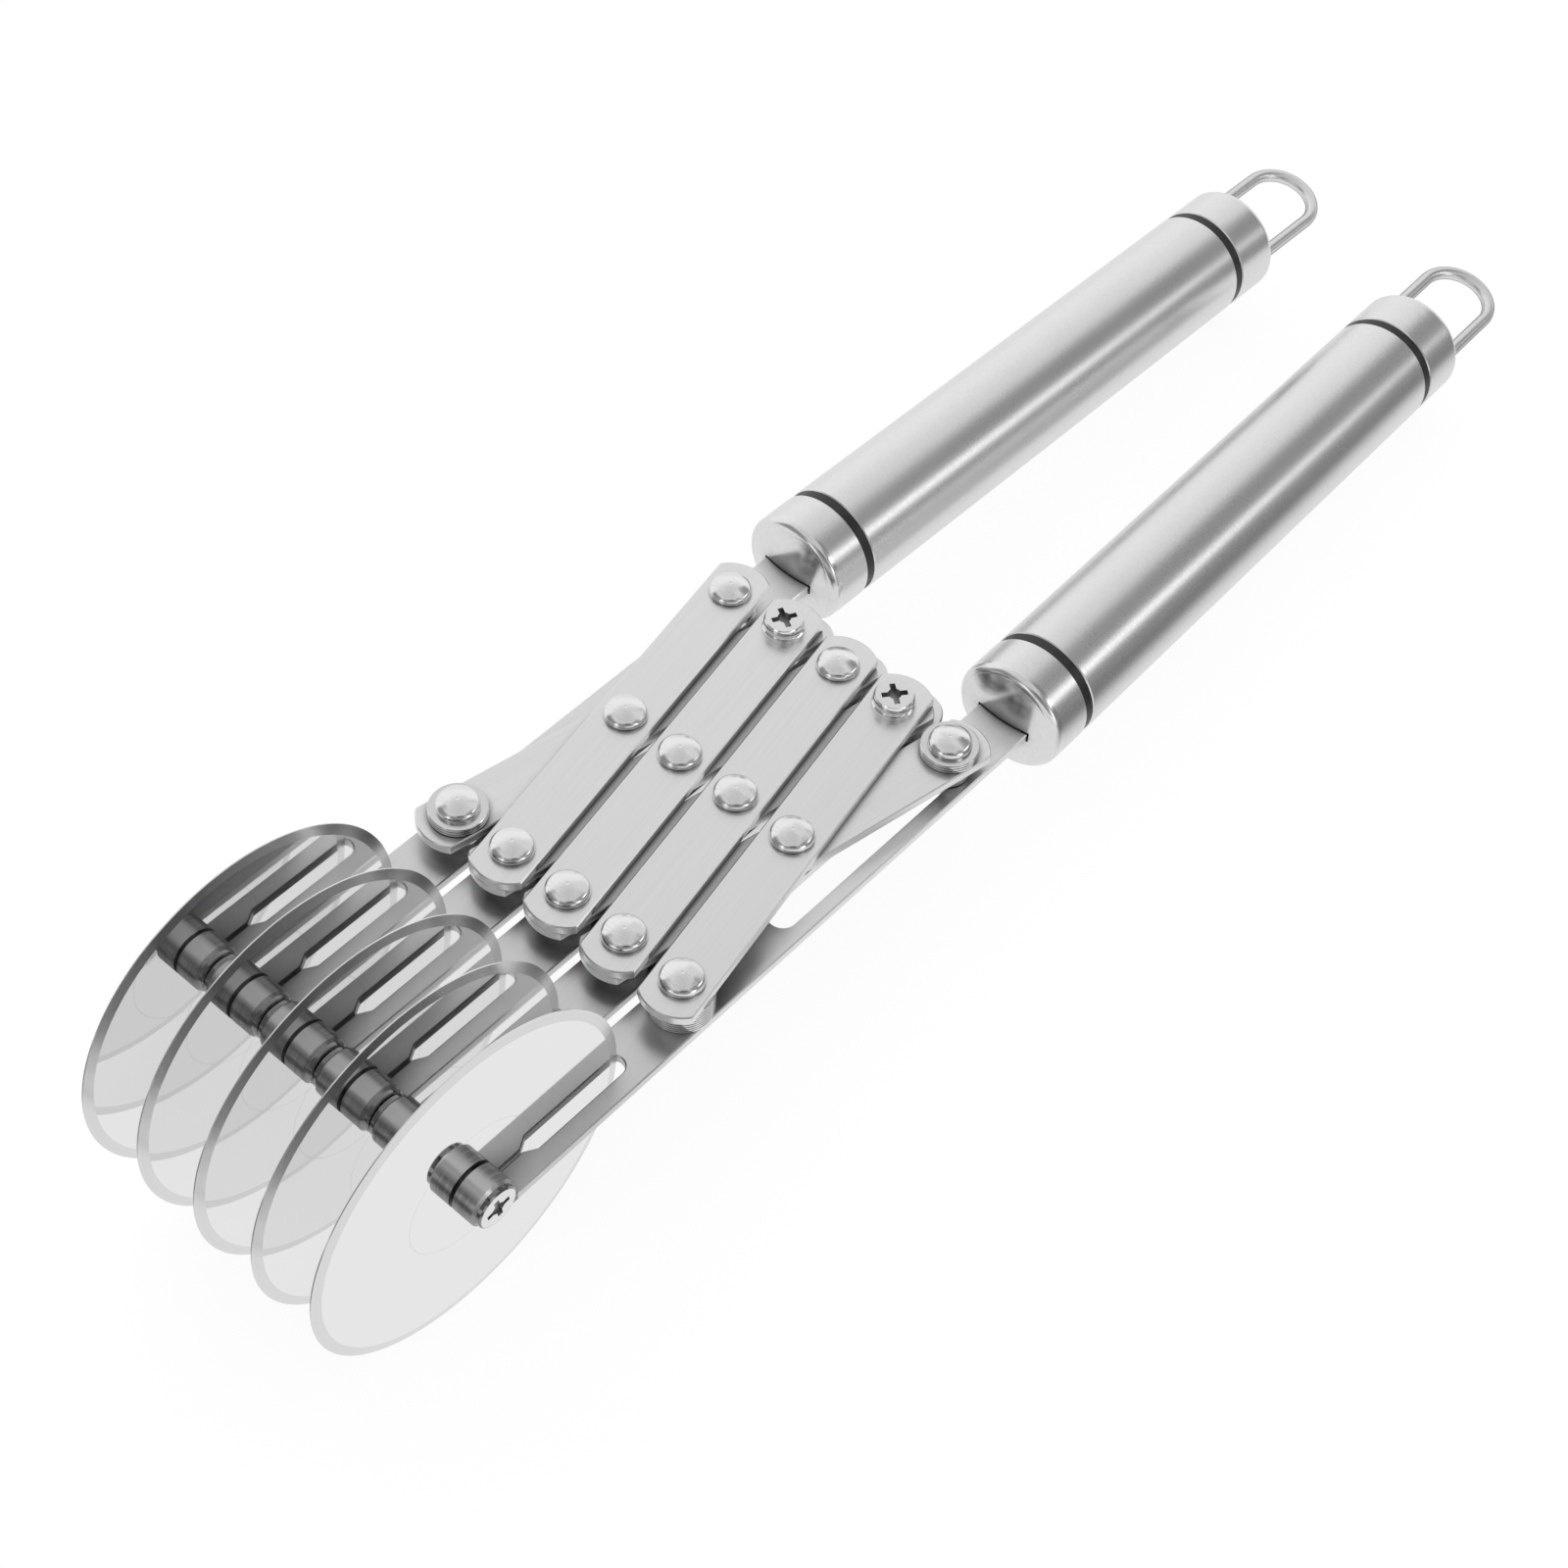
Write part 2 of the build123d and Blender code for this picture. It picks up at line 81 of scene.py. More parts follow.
def vector_calc(tree, operation, *vectors):
    """The outputs of one Vector Math node."""
    return put(tree, "ShaderNodeVectorMath", dict(enumerate(vectors)), operation=operation).outputs


def step(tree, value, low, high, to_low=0.0, to_high=1.0):
    """A smooth change from one value to another as a quantity goes from low to high."""
    sockets = {"Value": value, "From Min": low, "From Max": high, "To Min": to_low, "To Max": to_high}
    return put(tree, "ShaderNodeMapRange", sockets, interpolation_type="SMOOTHSTEP").outputs["Result"]


def band(tree, value, start, full_from, full_to, end):
    """One over a range of a quantity, with a soft fall to zero on both sides."""
    return calc(tree, "MULTIPLY", step(tree, value, start, full_from), step(tree, value, end, full_to))


def noise(tree, vector, scale, detail=2.0):
    """A soft random pattern from zero to one."""
    return put(tree, "ShaderNodeTexNoise", {"Vector": vector, "Scale": scale, "Detail": detail}).outputs["Fac"]


def mix_value(tree, factor, a, b):
    """Mixes two numbers."""
    return put(tree, "ShaderNodeMix", {0: factor, 2: a, 3: b}, data_type="FLOAT").outputs[0]


def grey(level):
    """A neutral colour of a level; a node's output stays as it is."""
    return level if isinstance(level, bpy.types.NodeSocket) else (level, level, level, 1.0)


def mix_grey(tree, factor, a, b):
    """Mixes two neutral colours, given as levels or as a node's outputs."""
    return put(tree, "ShaderNodeMix", {0: factor, 6: grey(a), 7: grey(b)}, data_type="RGBA").outputs[2]


def mix_shader(tree, factor, a, b):
    """Mixes two shaders."""
    return put(tree, "ShaderNodeMixShader", {0: factor, 1: a, 2: b}).outputs[0]


def group(name, inputs, outputs):
    """A new shader node group with named sockets."""
    tree = bpy.data.node_groups.new(name, "ShaderNodeTree")
    for label, kind in inputs.items():
        tree.interface.new_socket(name=label, in_out="INPUT", socket_type=kind)
    for label in outputs:
        tree.interface.new_socket(name=label, in_out="OUTPUT", socket_type="NodeSocketFloat")
    return tree, put(tree, "NodeGroupInput"), put(tree, "NodeGroupOutput")


def brushed_lines_group():
    """Fine parallel lines, as an abrasive belt leaves them: a mask of streaks and their height."""
    inputs = {"Place": "NodeSocketVector", "Across": "NodeSocketVector", "Spread": "NodeSocketFloat"}
    tree, entry, leave = group("brushed_lines", inputs, ("Streaks", "Height"))
    scaled = vector_calc(tree, "MULTIPLY", entry.outputs["Place"], entry.outputs["Across"])[0]
    fine = noise(tree, scaled, scale=1.0, detail=3.0)
    wide = noise(tree, scaled, scale=0.22)
    both = mix_value(tree, entry.outputs["Spread"], fine, wide)
    feed(tree, leave, "Streaks", step(tree, both, 0.3, 0.7))
    feed(tree, leave, "Height", fine)
    return tree


def handling_marks_group():
    """Marks of use: soft smudges and sparse hairline scratches."""
    inputs = {"Place": "NodeSocketVector", "Smudge Size": "NodeSocketFloat"}
    tree, entry, leave = group("handling_marks", inputs, ("Smudges", "Scratches"))
    where = entry.outputs["Place"]
    soft = noise(tree, where, entry.outputs["Smudge Size"], detail=4.0)
    feed(tree, leave, "Smudges", step(tree, soft, 0.42, 0.72))
    scratches = []
    for turn, size in ((0.6, 90.0), (2.1, 130.0)):
        drawn_out = (size, 4.0 * size, 0.25 * size)
        sockets = {"Vector": where, "Rotation": (turn, 0.7 * turn, turn), "Scale": drawn_out}
        spun = put(tree, "ShaderNodeMapping", sockets).outputs[0]
        cells = put(tree, "ShaderNodeTexVoronoi", {"Vector": spun, "Scale": 1.0}, feature="DISTANCE_TO_EDGE")
        thin = step(tree, cells.outputs["Distance"], 0.0, 0.03, 1.0, 0.0)
        rare = step(tree, noise(tree, spun, scale=0.35), 0.52, 0.62)
        scratches.append(calc(tree, "MULTIPLY", thin, rare))
    feed(tree, leave, "Scratches", calc(tree, "MAXIMUM", *scratches))
    return tree


brushed_lines = brushed_lines_group()
handling_marks = handling_marks_group()


def use(tree, made_group, **values):
    """Places a node group in a material with its own values."""
    sockets = {key.replace("_", " "): value for key, value in values.items()}
    return put(tree, "ShaderNodeGroup", sockets, node_tree=made_group).outputs


def place(tree, centre=(0, 0, 0), turn=0.0):
    """Object coordinates, moved to a centre and turned about the upright."""
    sockets = {"Location": centre, "Rotation": (0, 0, turn)}
    mapping = put(tree, "ShaderNodeMapping", sockets, vector_type="TEXTURE")
    feed(tree, mapping, "Vector", put(tree, "ShaderNodeTexCoord").outputs["Object"])
    return mapping.outputs[0]


def coordinates(tree, vector):
    """The X, Y and Z of a vector."""
    return put(tree, "ShaderNodeSeparateXYZ", {0: vector}).outputs


def from_axis(tree, a, b):
    """The distance from an axis, by the two coordinates square to it."""
    flat = put(tree, "ShaderNodeCombineXYZ", {0: a, 1: b}).outputs[0]
    return vector_calc(tree, "LENGTH", flat)["Value"]


def bump(tree, shader, height, strength, distance):
    """A Bump node into the shader's normal."""
    node = put(tree, "ShaderNodeBump", {"Height": height, "Strength": strength, "Distance": distance})
    feed(tree, shader, "Normal", node.outputs[0])


def steel(name, roughness, level):
    """A bare stainless material; these plain values serve where a finish can't be read from its nodes."""
    made, tree, shader = material(name)
    feed(tree, shader, "Metallic", 1.0)
    feed(tree, shader, "Roughness", roughness)
    feed(tree, shader, "Base Color", grey(level))
    return made, tree, shader


def smudged(tree, roughness, marks, amount):
    """A roughness that rises by an amount where there are smudges."""
    return calc(tree, "ADD", roughness, calc(tree, "MULTIPLY", marks["Smudges"], amount))


def in_the_open(tree, reach, shaded, clear):
    """Mask for painted shade: one in the open, falling to zero where other pieces stand within reach."""
    near = put(tree, "ShaderNodeAmbientOcclusion", {"Distance": reach}, samples=8)
    return step(tree, near.outputs["AO"], shaded, clear)


# Values that more than one finish has
plate_grain = {"Across": (2600.0, 38.0, 600.0), "Spread": 0.25}
plate_rough = (0.32, 0.28)
grain_depth = 0.00002
small_smudges = 250.0


def satin_plate(name, turn, shaded, clear):
    """Plate steel with a faint belt grain along its length, and painted shade in the gaps between bars."""
    painted_gap_shade, gap_reach = 0.14, 0.003
    made, tree, shader = steel(name, 0.3, 0.67)
    where = place(tree, turn=turn)
    lines = use(tree, brushed_lines, Place=where, **plate_grain)
    marks = use(tree, handling_marks, Place=where, Smudge_Size=55.0)
    clean = mix_grey(tree, lines["Streaks"], 0.78, 0.81)
    # Painted shade: the plate darkens where other pieces stand close
    clear_of_gaps = in_the_open(tree, gap_reach, shaded, clear)
    feed(tree, shader, "Base Color", mix_grey(tree, clear_of_gaps, painted_gap_shade, clean))
    rough = mix_value(tree, lines["Streaks"], *plate_rough)
    feed(tree, shader, "Roughness", smudged(tree, rough, marks, 0.03))
    bump(tree, shader, lines["Height"], 0.06, grain_depth)
    return made


def arm_plate():
    """The arms' plate steel: fork legs and close gaps darkened with painted shade, and dark turned knuckles with a
    painted highlight along the crest.
    """
    painted_leg_shade, painted_gap_shade, painted_crest_highlight = 0.61, 0.18, 0.78
    leg_start, leg_full = axle_y + 0.06, axle_y + 0.02
    knuckle_end = axle_y + knuckle_reach
    knuckle_edge, gap_reach = 0.0005, 0.008
    crest_way = (0, -0.21, 0.98)
    made, tree, shader = steel("arm_plate", 0.3, 0.66)
    where = place(tree)
    lines = use(tree, brushed_lines, Place=where, **plate_grain)
    turned = use(tree, brushed_lines, Place=where, Across=(2600.0, 60.0, 60.0), Spread=0.3)
    along_arm = coordinates(tree, where)["Y"]
    knuckle = step(tree, along_arm, knuckle_end, knuckle_end - knuckle_edge)
    flat = mix_grey(tree, lines["Streaks"], 0.77, 0.8)
    # Painted shade: the fork legs darken towards the wheels
    flat = mix_grey(tree, step(tree, along_arm, leg_start, leg_full), flat, painted_leg_shade)
    # Painted shade where other pieces stand close, as under the bars
    flat = mix_grey(tree, in_the_open(tree, gap_reach, 0.2, 0.85), painted_gap_shade, flat)
    from_axle = vector_calc(tree, "MULTIPLY_ADD", where, (0, 1, 1), (0, -axle_y, -axle_z))[0]
    outward = vector_calc(tree, "NORMALIZE", from_axle)[0]
    toward_crest = vector_calc(tree, "DOT_PRODUCT", outward, crest_way)["Value"]
    rolled = mix_grey(tree, turned["Streaks"], 0.22, 0.34)
    # Painted highlight: a bright band along the knuckles' crest, facing up and a little to the front
    rolled = mix_grey(tree, step(tree, toward_crest, 0.84, 0.995), rolled, painted_crest_highlight)
    feed(tree, shader, "Base Color", mix_grey(tree, knuckle, flat, rolled))
    flat_rough = mix_value(tree, lines["Streaks"], *plate_rough)
    rolled_rough = mix_value(tree, turned["Streaks"], 0.38, 0.33)
    feed(tree, shader, "Roughness", mix_value(tree, knuckle, flat_rough, rolled_rough))
    along_axle = put(tree, "ShaderNodeCombineXYZ", {0: 1.0}).outputs[0]
    feed(tree, shader, "Tangent", along_axle)
    feed(tree, shader, "Anisotropic", calc(tree, "MULTIPLY", knuckle, 0.9))
    height = mix_value(tree, knuckle, lines["Height"], turned["Height"])
    bump(tree, shader, height, 0.06, grain_depth)
    return made


def cutting_disc(number):
    """A mirror-polished disc with a ground bevel and a faint ring round the hub."""
    low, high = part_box(f"cutting_wheel_{number}")
    face_level, ring_level, deep_level = 0.87, 0.8, 0.95
    face_rough, ring_rough, bevel_rough, deep_rough = 0.02, 0.05, 0.22, 1.0
    ring_half_width, bevel_edge, groove_depth = 0.0003, 0.00005, 0.00001
    made, tree, shader = steel(f"cutting_disc_{number}", 0.03, 0.8)
    where = place(tree, ((low.x + high.x) / 2, axle_y, axle_z))
    spot = coordinates(tree, where)
    radius = from_axis(tree, spot["Y"], spot["Z"])
    bevel = step(tree, radius, bevel_start - bevel_edge, bevel_start + bevel_edge)
    rings = put(tree, "ShaderNodeCombineXYZ", {0: radius}).outputs[0]
    ground = use(tree, brushed_lines, Place=rings, Across=(9000.0, 1.0, 1.0), Spread=0.3)
    marks = use(tree, handling_marks, Place=where, Smudge_Size=45.0)
    off_ring = calc(tree, "ABSOLUTE", calc(tree, "SUBTRACT", radius, hub_ring_radius))
    ring = step(tree, off_ring, 0.0, ring_half_width, 1.0, 0.0)
    rough = smudged(tree, face_rough, marks, 0.03)
    rough = calc(tree, "ADD", rough, calc(tree, "MULTIPLY", ring, ring_rough))
    rough = mix_value(tree, bevel, rough, bevel_rough)
    face = mix_grey(tree, ring, face_level, ring_level)
    edge = mix_grey(tree, ground["Streaks"], 0.7, 0.8)
    level = mix_grey(tree, bevel, face, edge)
    # After three reflections between discs the face is rough, so that the last one isn't black
    reflections = put(tree, "ShaderNodeLightPath").outputs["Glossy Depth"]
    deep = calc(tree, "GREATER_THAN", reflections, 2.5)
    feed(tree, shader, "Roughness", mix_value(tree, deep, rough, deep_rough))
    feed(tree, shader, "Base Color", mix_grey(tree, deep, level, deep_level))
    bump(tree, shader, calc(tree, "MULTIPLY", ground["Height"], bevel), 0.15, groove_depth)
    return made


def brushed_tube(name, turn, face_y=None):
    """Tube steel with a fine even brushing; a ferrule's front face is smoother, and has painted shade close to the
    arm.
    """
    face_rough, face_edge = 0.2, 0.0006
    painted_gap_shade, gap_reach = 0.12, 0.008
    made, tree, shader = steel(name, 0.29, 0.74)
    where = place(tree, turn=turn)
    lines = use(tree, brushed_lines, Place=where, Across=(900.0, 3200.0, 900.0), Spread=0.0)
    marks = use(tree, handling_marks, Place=where, Smudge_Size=35.0)
    level = mix_grey(tree, lines["Streaks"], 0.755, 0.785)
    rough = smudged(tree, mix_value(tree, lines["Streaks"], 0.31, 0.27), marks, 0.02)
    if face_y is not None:
        face = step(tree, coordinates(tree, where)["Y"], face_y + face_edge, face_y)
        rough = mix_value(tree, face, rough, face_rough)
        # Painted shade on the ferrule where other pieces stand close
        level = mix_grey(tree, in_the_open(tree, gap_reach, 0.45, 0.95), painted_gap_shade, level)
    feed(tree, shader, "Base Color", level)
    feed(tree, shader, "Roughness", rough)
    bump(tree, shader, lines["Height"], 0.05, grain_depth)
    return made


def polished(name, level, roughness, glancing=1.0):
    """Polished steel with light handling marks, and a level that it takes at a glancing view."""
    made, tree, shader = steel(name, roughness, level)
    marks = use(tree, handling_marks, Place=place(tree), Smudge_Size=small_smudges)
    feed(tree, shader, "Base Color", mix_grey(tree, marks["Scratches"], level, 0.93 * level))
    feed(tree, shader, "Roughness", smudged(tree, roughness, marks, 0.04))
    feed(tree, shader, "Specular Tint", grey(glancing))
    return made


def domed_rivet(node):
    """Polished rivet steel; the head's crown is finished to a full round."""
    low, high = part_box(node)
    level, scratch_level, roughness = 0.8, 0.74, 0.16
    crown_blend, crown_fall = 0.0006, -36.0
    made, tree, shader = steel(node, roughness, level)
    where = place(tree, ((low.x + high.x) / 2, (low.y + high.y) / 2, high.z))
    spot = coordinates(tree, where)
    radius = from_axis(tree, spot["X"], spot["Y"])
    sockets = {0: radius, 1: crown_reach, 2: crown_blend}
    crown = put(tree, "ShaderNodeMath", sockets, operation="SMOOTH_MIN").outputs[0]
    fall = calc(tree, "MULTIPLY", calc(tree, "POWER", crown, 2.0), crown_fall)
    marks = use(tree, handling_marks, Place=where, Smudge_Size=small_smudges)
    feed(tree, shader, "Base Color", mix_grey(tree, marks["Scratches"], level, scratch_level))
    feed(tree, shader, "Roughness", smudged(tree, roughness, marks, 0.04))
    bump(tree, shader, fall, 1.0, 1.0)
    return made


def washer_stack(node, count):
    """Polished thin washers with dark joints between them."""
    low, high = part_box(node)
    level, joint_level, roughness = 0.72, 0.1, 0.16
    made, tree, shader = steel(node, roughness, level)
    where = place(tree, (0, 0, low.z))
    layer = calc(tree, "DIVIDE", coordinates(tree, where)["Z"], (high.z - low.z) / count)
    top_face = calc(tree, "GREATER_THAN", layer, count - 0.3)
    off_joint = calc(tree, "MAXIMUM", calc(tree, "PINGPONG", layer, 0.5), top_face)
    marks = use(tree, handling_marks, Place=where, Smudge_Size=small_smudges)
    feed(tree, shader, "Base Color", mix_grey(tree, step(tree, off_joint, 0.1, 0.2), joint_level, level))
    feed(tree, shader, "Roughness", smudged(tree, roughness, marks, 0.05))
    return made


def recessed_head(node, axis, at_low_end=False):
    """Polished screw steel, dull inside the cross recess, with painted shade in the recess and round an axle
    head's rim.
    """
    low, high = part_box(node)
    level, painted_rim_shade, painted_recess_shade = 0.8, 0.25, 0.38
    roughness, recess_rough = 0.08, 0.45
    edge, recess_top, recess_deep = 0.0001, 0.00005, 0.0004
    made, tree, shader = steel(node, roughness, level)
    centre = (low + high) / 2
    centre[axis] = low[axis] if at_low_end else high[axis]
    where = place(tree, centre)
    spot = coordinates(tree, where)
    radius = from_axis(tree, *[spot[way] for way in range(3) if way != axis])
    depth = calc(tree, "ABSOLUTE", spot[axis])
    inside = step(tree, radius, recess_reach, recess_reach - edge)
    inside = calc(tree, "MULTIPLY", inside, step(tree, depth, recess_top, recess_deep))
    marks = use(tree, handling_marks, Place=where, Smudge_Size=small_smudges)
    # Painted shade round an axle head's rim, between the knuckles, and inside the cross recess
    rim = step(tree, radius, axle_head_reach, axle_head_reach + edge) if axis == 0 else 0.0
    outside = mix_grey(tree, rim, level, painted_rim_shade)
    feed(tree, shader, "Base Color", mix_grey(tree, inside, outside, painted_recess_shade))
    rough = smudged(tree, roughness, marks, 0.04)
    feed(tree, shader, "Roughness", mix_value(tree, inside, rough, recess_rough))
    return made


def black_ring():
    """Black moulded rings with a dull surface."""
    made, tree, shader = material("black_ring")
    marks = use(tree, handling_marks, Place=place(tree), Smudge_Size=400.0)
    feed(tree, shader, "Base Color", mix_grey(tree, marks["Smudges"], 0.012, 0.022))
    feed(tree, shader, "Roughness", smudged(tree, 0.4, marks, 0.15))
    return made


def dress(made, *names):
    """Gives nodes a finish."""
    for name in names:
        data = nodes[name].data
        data.materials.clear()
        data.materials.append(made)


dress(arm_plate(), *[f"arm_{n}" for n in arm_numbers])
dress(satin_plate("upper_bar", bar_lean, 0.1, 0.7), *[f"top_bar_{n}" for n in bar_numbers])
dress(satin_plate("lower_bar", -bar_lean, 0.35, 0.88), *[f"bottom_bar_{n}" for n in bar_numbers])
for number in arm_numbers:
    dress(cutting_disc(number), f"cutting_wheel_{number}")
for number, turn in ((1, -grip_toe), (5, grip_toe)):
    dress(brushed_tube(f"grip_{number}", turn), f"grip_tube_{number}", f"end_cap_{number}")
    dress(brushed_tube(f"grip_end_{number}", turn, ferrule_face_y), f"ferrule_{number}")
for rivet in [n for n in nodes if "rivet" in n]:
    dress(domed_rivet(rivet), rivet)
for stack, count in (("front_washers_1", 3), ("rear_washers_1", 3), ("rear_washers_5", 3), ("front_washers_5", 9)):
    dress(washer_stack(stack, count), stack)
dress(polished("post_polish", 0.8, 0.11), "slide_post_2", "slide_post_4")
for screw in ("rear_screw_2", "rear_screw_4"):
    dress(recessed_head(screw, axis=2), screw)
for number in arm_numbers:
    screw, post = f"axle_screw_{number}", f"axle_post_{number}"
    dress(recessed_head(screw, axis=0), screw)
    dress(recessed_head(post, axis=0, at_low_end=True), post)
dress(polished("loop_polish", 0.78, 0.33, glancing=0.2), "hanging_loop_1", "hanging_loop_5")
dress(black_ring(), "grip_rings_1", "grip_rings_5")

# Camera, as fitted to the photo
view_turn = radians(37.9955)
view_height = radians(51.3108)
view_roll = radians(4.4958)
view_distance = 0.535109
view_aim = Vector((0.0138306, -0.0498599, 0.0454))
back = Vector((sin(view_turn) * cos(view_height), -cos(view_turn) * cos(view_height), sin(view_height)))
right = Vector((0, 0, 1)).cross(back).normalized()
up = back.cross(right)
rolled_right = right * cos(view_roll) + up * sin(view_roll)
rolled_up = up * cos(view_roll) - right * sin(view_roll)
lens = bpy.data.cameras.new("camera")
lens.sensor_width = 36.0
lens.lens = 62.949
lens.clip_start = 0.01
lens.clip_end = 50.0
camera = bpy.data.objects.new("camera", lens)
axes = Matrix((rolled_right, rolled_up, back)).transposed().to_4x4()
camera.matrix_world = Matrix.Translation(view_aim + back * view_distance) @ axes
scene.collection.objects.link(camera)
scene.camera = camera


def sheet(name, centre, across, along, width, length, made):
    """A flat rectangle, made in place."""
    shape = bmesh.new()
    bmesh.ops.create_grid(shape, x_segments=1, y_segments=1, size=0.5)
    x_axis = Vector(across).normalized()
    y_axis = Vector(along).normalized()
    z_axis = x_axis.cross(y_axis)
    turn = Matrix((x_axis * width, y_axis * length, z_axis)).transposed().to_4x4()
    bmesh.ops.transform(shape, matrix=Matrix.Translation(centre) @ turn, verts=shape.verts)
    mesh = bpy.data.meshes.new(name)
    shape.to_mesh(mesh)
    shape.free()
    made_object = bpy.data.objects.new(name, mesh)
    scene.collection.objects.link(made_object)
    mesh.materials.append(made)
    return made_object


def seen_mask(tree):
    """One for rays from the camera, from gloss and through glass, else zero."""
    rays = put(tree, "ShaderNodeLightPath").outputs
    seen = calc(tree, "MAXIMUM", rays["Is Camera Ray"], rays["Is Glossy Ray"])
    return calc(tree, "MAXIMUM", seen, rays["Is Transmission Ray"])


def table_white():
    """White table: lit from within where it is seen, shaded between the handles, and clear from below."""
    made, tree, shader = material("table_white")
    tree.nodes.remove(shader)
    seen_glow, mirrored_glow, shaded_glow = 0.9, 0.86, 0.46
    camera_ray = put(tree, "ShaderNodeLightPath").outputs["Is Camera Ray"]
    diffuse = put(tree, "ShaderNodeBsdfDiffuse", {"Color": grey(0.8)}).outputs[0]
    faint = put(tree, "ShaderNodeBsdfDiffuse", {"Color": mix_grey(tree, camera_ray, 0.06, 0.14)}).outputs[0]
    spot = coordinates(tree, place(tree))
    across_gap = band(tree, spot["X"], 0.003, 0.015, 0.029, 0.037)
    along_gap = band(tree, spot["Y"], 0.0, 0.01, 0.16, 0.17)
    between_handles = calc(tree, "MULTIPLY", across_gap, along_gap)
    mirrored = mix_grey(tree, between_handles, mirrored_glow, shaded_glow)
    light = mix_grey(tree, camera_ray, mirrored, seen_glow)
    glow = put(tree, "ShaderNodeEmission", {"Color": light}).outputs[0]
    lit = put(tree, "ShaderNodeAddShader", {0: faint, 1: glow}).outputs[0]
    seen = mix_shader(tree, seen_mask(tree), diffuse, lit)
    clear = put(tree, "ShaderNodeBsdfTransparent").outputs[0]
    underside = put(tree, "ShaderNodeNewGeometry").outputs["Backfacing"]
    feed(tree, tree.nodes["Material Output"], "Surface", mix_shader(tree, underside, seen, clear))
    return made


def card_paint(name, centre, across, along, width, length, level, fades):
    """An even grey card that fades out over a distance at its four sides."""
    made, tree, shader = material(name)
    tree.nodes.remove(shader)
    coords = put(tree, "ShaderNodeTexCoord").outputs["Object"]
    offset = vector_calc(tree, "SUBTRACT", coords, centre)[0]
    masks = []
    for way, half, start, end in ((across, width / 2, *fades[:2]), (along, length / 2, *fades[2:])):
        reach = vector_calc(tree, "DOT_PRODUCT", offset, Vector(way).normalized())["Value"]
        masks.append(band(tree, reach, -half, start - half, half - end, half))
    glow = put(tree, "ShaderNodeEmission", {"Color": grey(1.0), "Strength": level}).outputs[0]
    clear = put(tree, "ShaderNodeBsdfTransparent").outputs[0]
    shown = mix_shader(tree, calc(tree, "MULTIPLY", *masks), clear, glow)
    feed(tree, tree.nodes["Material Output"], "Surface", shown)
    return made


def studio_card(name, centre, across, along, width, length, level, fades):
    """A soft-edged card beside the set that only polished surfaces show."""
    paint = card_paint(name, centre, across, along, width, length, level, fades)
    made = sheet(name, centre, across, along, width, length, paint)
    made.visible_camera = False
    made.visible_shadow = False
    made.visible_diffuse = False


def facing_card(name, turn, height, distance, **values):
    """A studio card that faces the tool, at degrees round from the camera and above the table."""
    bearing, rise = view_turn + radians(turn), radians(height)
    level_distance = cos(rise) * distance
    centre = Vector((sin(bearing) * level_distance, -cos(bearing) * level_distance, sin(rise) * distance))
    across = (cos(bearing), sin(bearing), 0)
    along = (-sin(bearing) * sin(rise), cos(bearing) * sin(rise), cos(rise))
    studio_card(name, centre, across, along, **values)


# Table: the wheels and the handles' rear ends rest on it
floor_tilt = atan2(cap_low.z - (axle_z - wheel_radius), cap_high.y - axle_y)
floor_along = Vector((0, cos(floor_tilt), sin(floor_tilt)))
floor_up = Vector((0, -sin(floor_tilt), cos(floor_tilt)))
table_point = Vector((0, axle_y, axle_z)) - floor_up * wheel_radius
level_x, level_y, upright = (1, 0, 0), (0, 1, 0), (0, 0, 1)
table_side = 8.0
sheet("table", table_point, level_x, floor_along, table_side, table_side, table_white())

# Cards above and round the set; fades are at the start and end of the width, then of the length
studio_card("ceiling", (0.15, 0.1, 1.0), level_x, level_y,
            width=3.4, length=4.0, level=0.64, fades=(1.7, 1.7, 1.7, 2.3))
studio_card("overhead_shade", (0.225, 0.545, 0.46), level_x, level_y,
            width=0.556, length=0.71, level=0.26, fades=(0.2, 0.12, 0.08, 0.1))
studio_card("handle_strip", (0.38, 0.45, 0.27), (0.518, 0, -0.856), level_y,
            width=0.135, length=0.66, level=2.2, fades=(0.035, 0.035, 0.05, 0.55))
facing_card("right_shade", turn=97, height=30, distance=1.1,
            width=1.9, length=1.55, level=0.24, fades=(0.2, 0.8, 0.02, 0.9))
facing_card("right_high_shade", turn=62, height=45, distance=1.0,
            width=0.75, length=0.6, level=0.3, fades=(0.2, 0.2, 0.2, 0.2))
facing_card("right_softbox", turn=52, height=17, distance=0.95,
            width=0.28, length=0.3, level=2.0, fades=(0.05, 0.05, 0.05, 0.05))
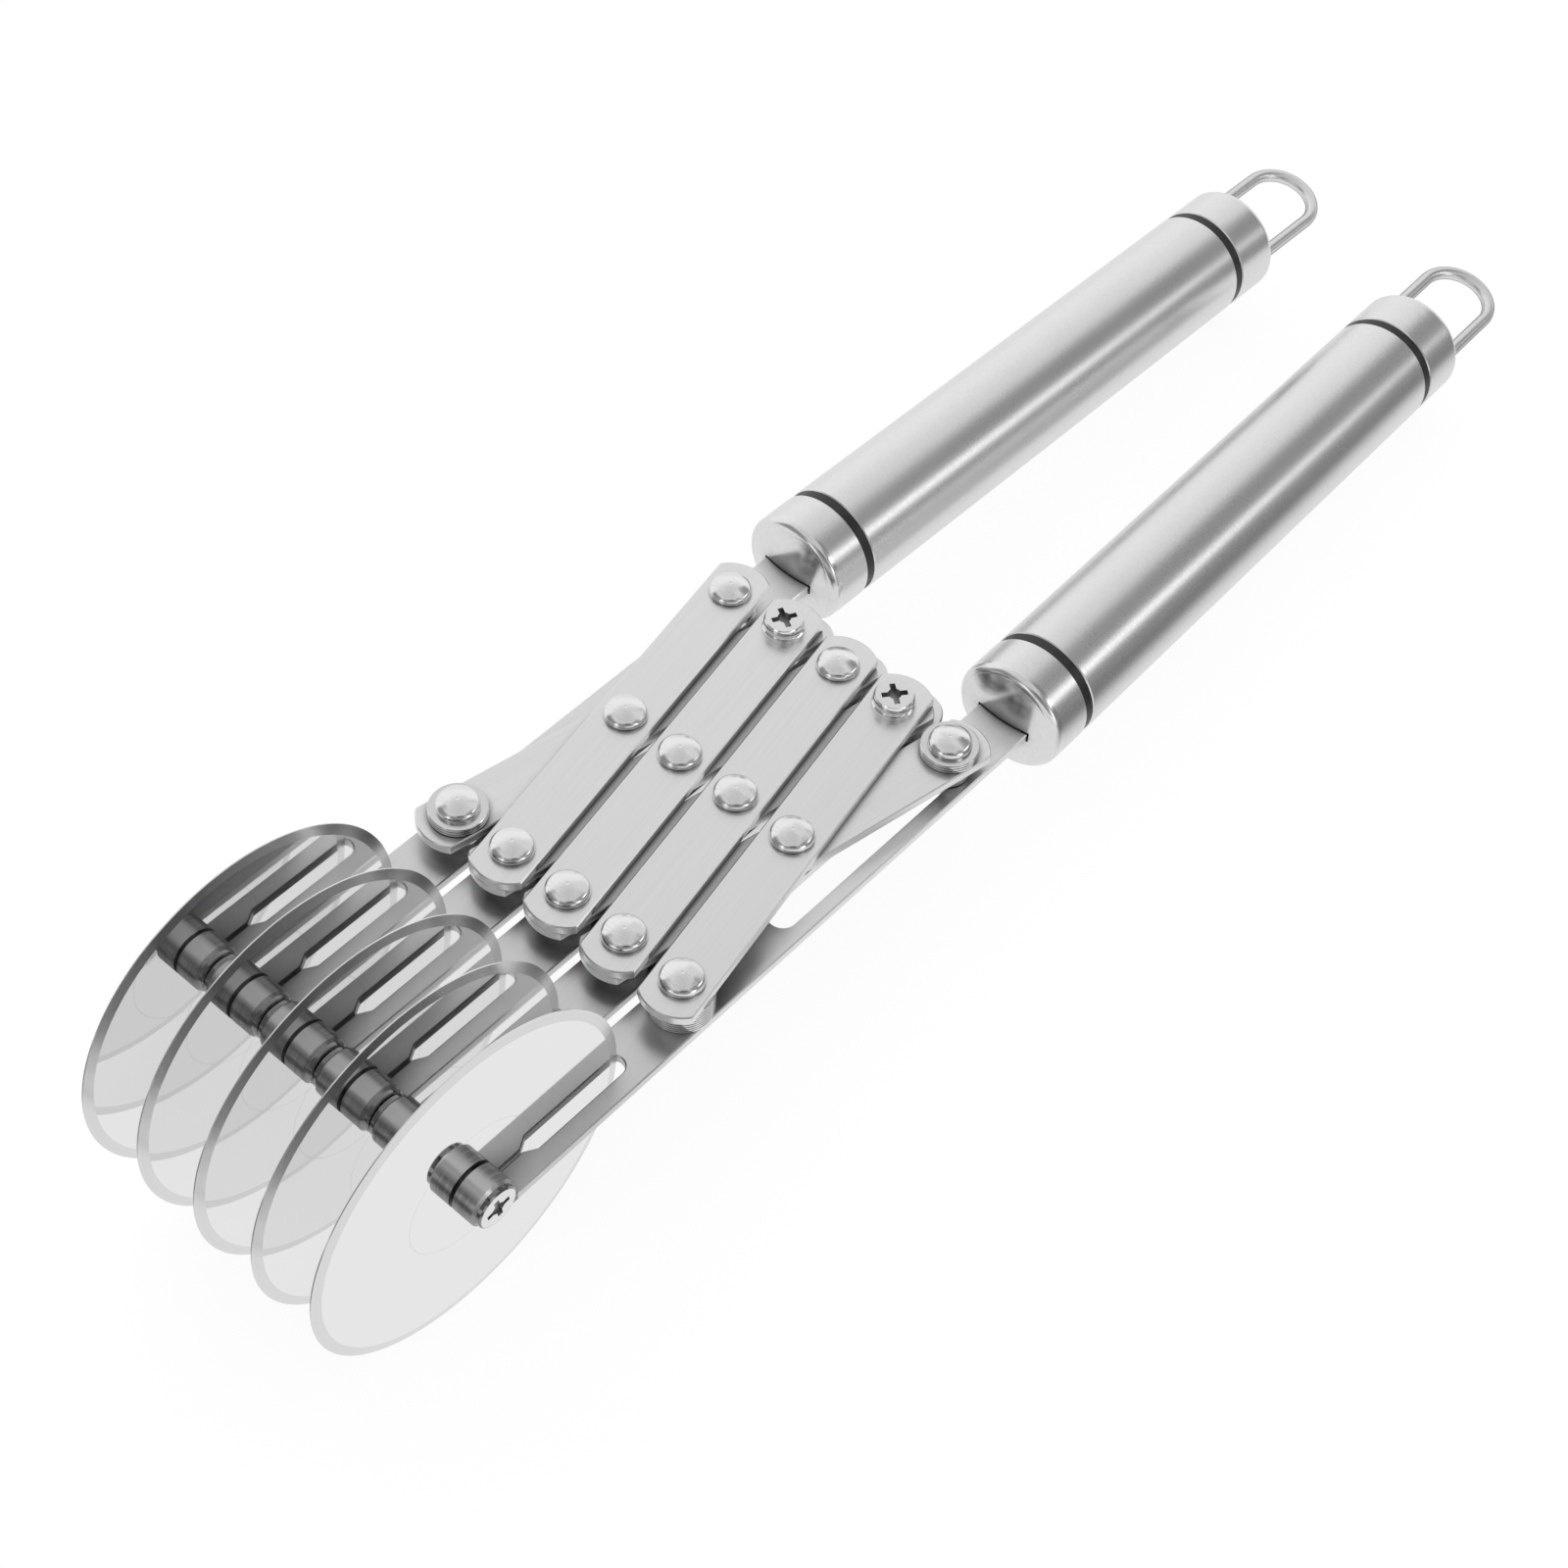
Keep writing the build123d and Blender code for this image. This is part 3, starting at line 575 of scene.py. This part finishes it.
facing_card("left_softbox", turn=-40, height=13, distance=0.95,
            width=0.2, length=0.26, level=1.6, fades=(0.05, 0.05, 0.05, 0.05))
facing_card("front_shade", turn=2, height=33, distance=1.05,
            width=1.45, length=0.82, level=0.3, fades=(0.15, 0.15, 0.05, 0.2))
facing_card("camera_shade", turn=6, height=46, distance=0.55,
            width=0.26, length=0.22, level=0.1, fades=(0.06, 0.06, 0.06, 0.06))
facing_card("left_shade", turn=-72, height=26, distance=1.2,
            width=1.2, length=1.3, level=0.3, fades=(0.2, 0.15, 0.05, 0.4))
studio_card("linkage_bounce", (0.035, 0, 0.125), level_x, upright,
            width=0.15, length=0.15, level=0.78, fades=(0.04, 0.07, 0.04, 0.03))

# Cards that lie just above the table
card_lift = floor_up * 0.001
side_spot = table_point + floor_along * 0.526 + card_lift + Vector((0.4, 0, 0))
studio_card("side_table_shade", side_spot, level_x, floor_along,
            width=0.71, length=0.85, level=0.2, fades=(0.05, 0.1, 0.1, 0.1))
front_spot = table_point - floor_along * 0.29 + card_lift
studio_card("front_table_shade", front_spot, level_x, floor_along,
            width=0.9, length=0.48, level=0.22, fades=(0.1, 0.1, 0.1, 0.04))

# Light: an even room that is white where it is seen, and one soft lamp
world = bpy.data.worlds.new("studio")
scene.world = world
world.use_nodes = True
sky = world.node_tree
room = sky.nodes["Background"]
feed(sky, room, "Color", grey(0.75))
white = put(sky, "ShaderNodeBackground", {"Color": grey(1.0)})
shown = mix_shader(sky, seen_mask(sky), room.outputs[0], white.outputs[0])
feed(sky, sky.nodes["World Output"], "Surface", shown)

lamp = bpy.data.lights.new("softbox_left", "AREA")
lamp.shape = "RECTANGLE"
lamp.size = 0.9
lamp.size_y = 1.1
lamp.energy = 1.5
lamp_spot, lamp_aim = Vector((-0.75, 0.1, 0.8)), Vector((0, 0, 0.03))
softbox = bpy.data.objects.new("softbox_left", lamp)
softbox.location = lamp_spot
softbox.rotation_euler = (lamp_aim - lamp_spot).to_track_quat("-Z", "Y").to_euler()
softbox.visible_glossy = False
scene.collection.objects.link(softbox)

scene.view_settings.view_transform = "Standard"

bpy.context.view_layer.update()
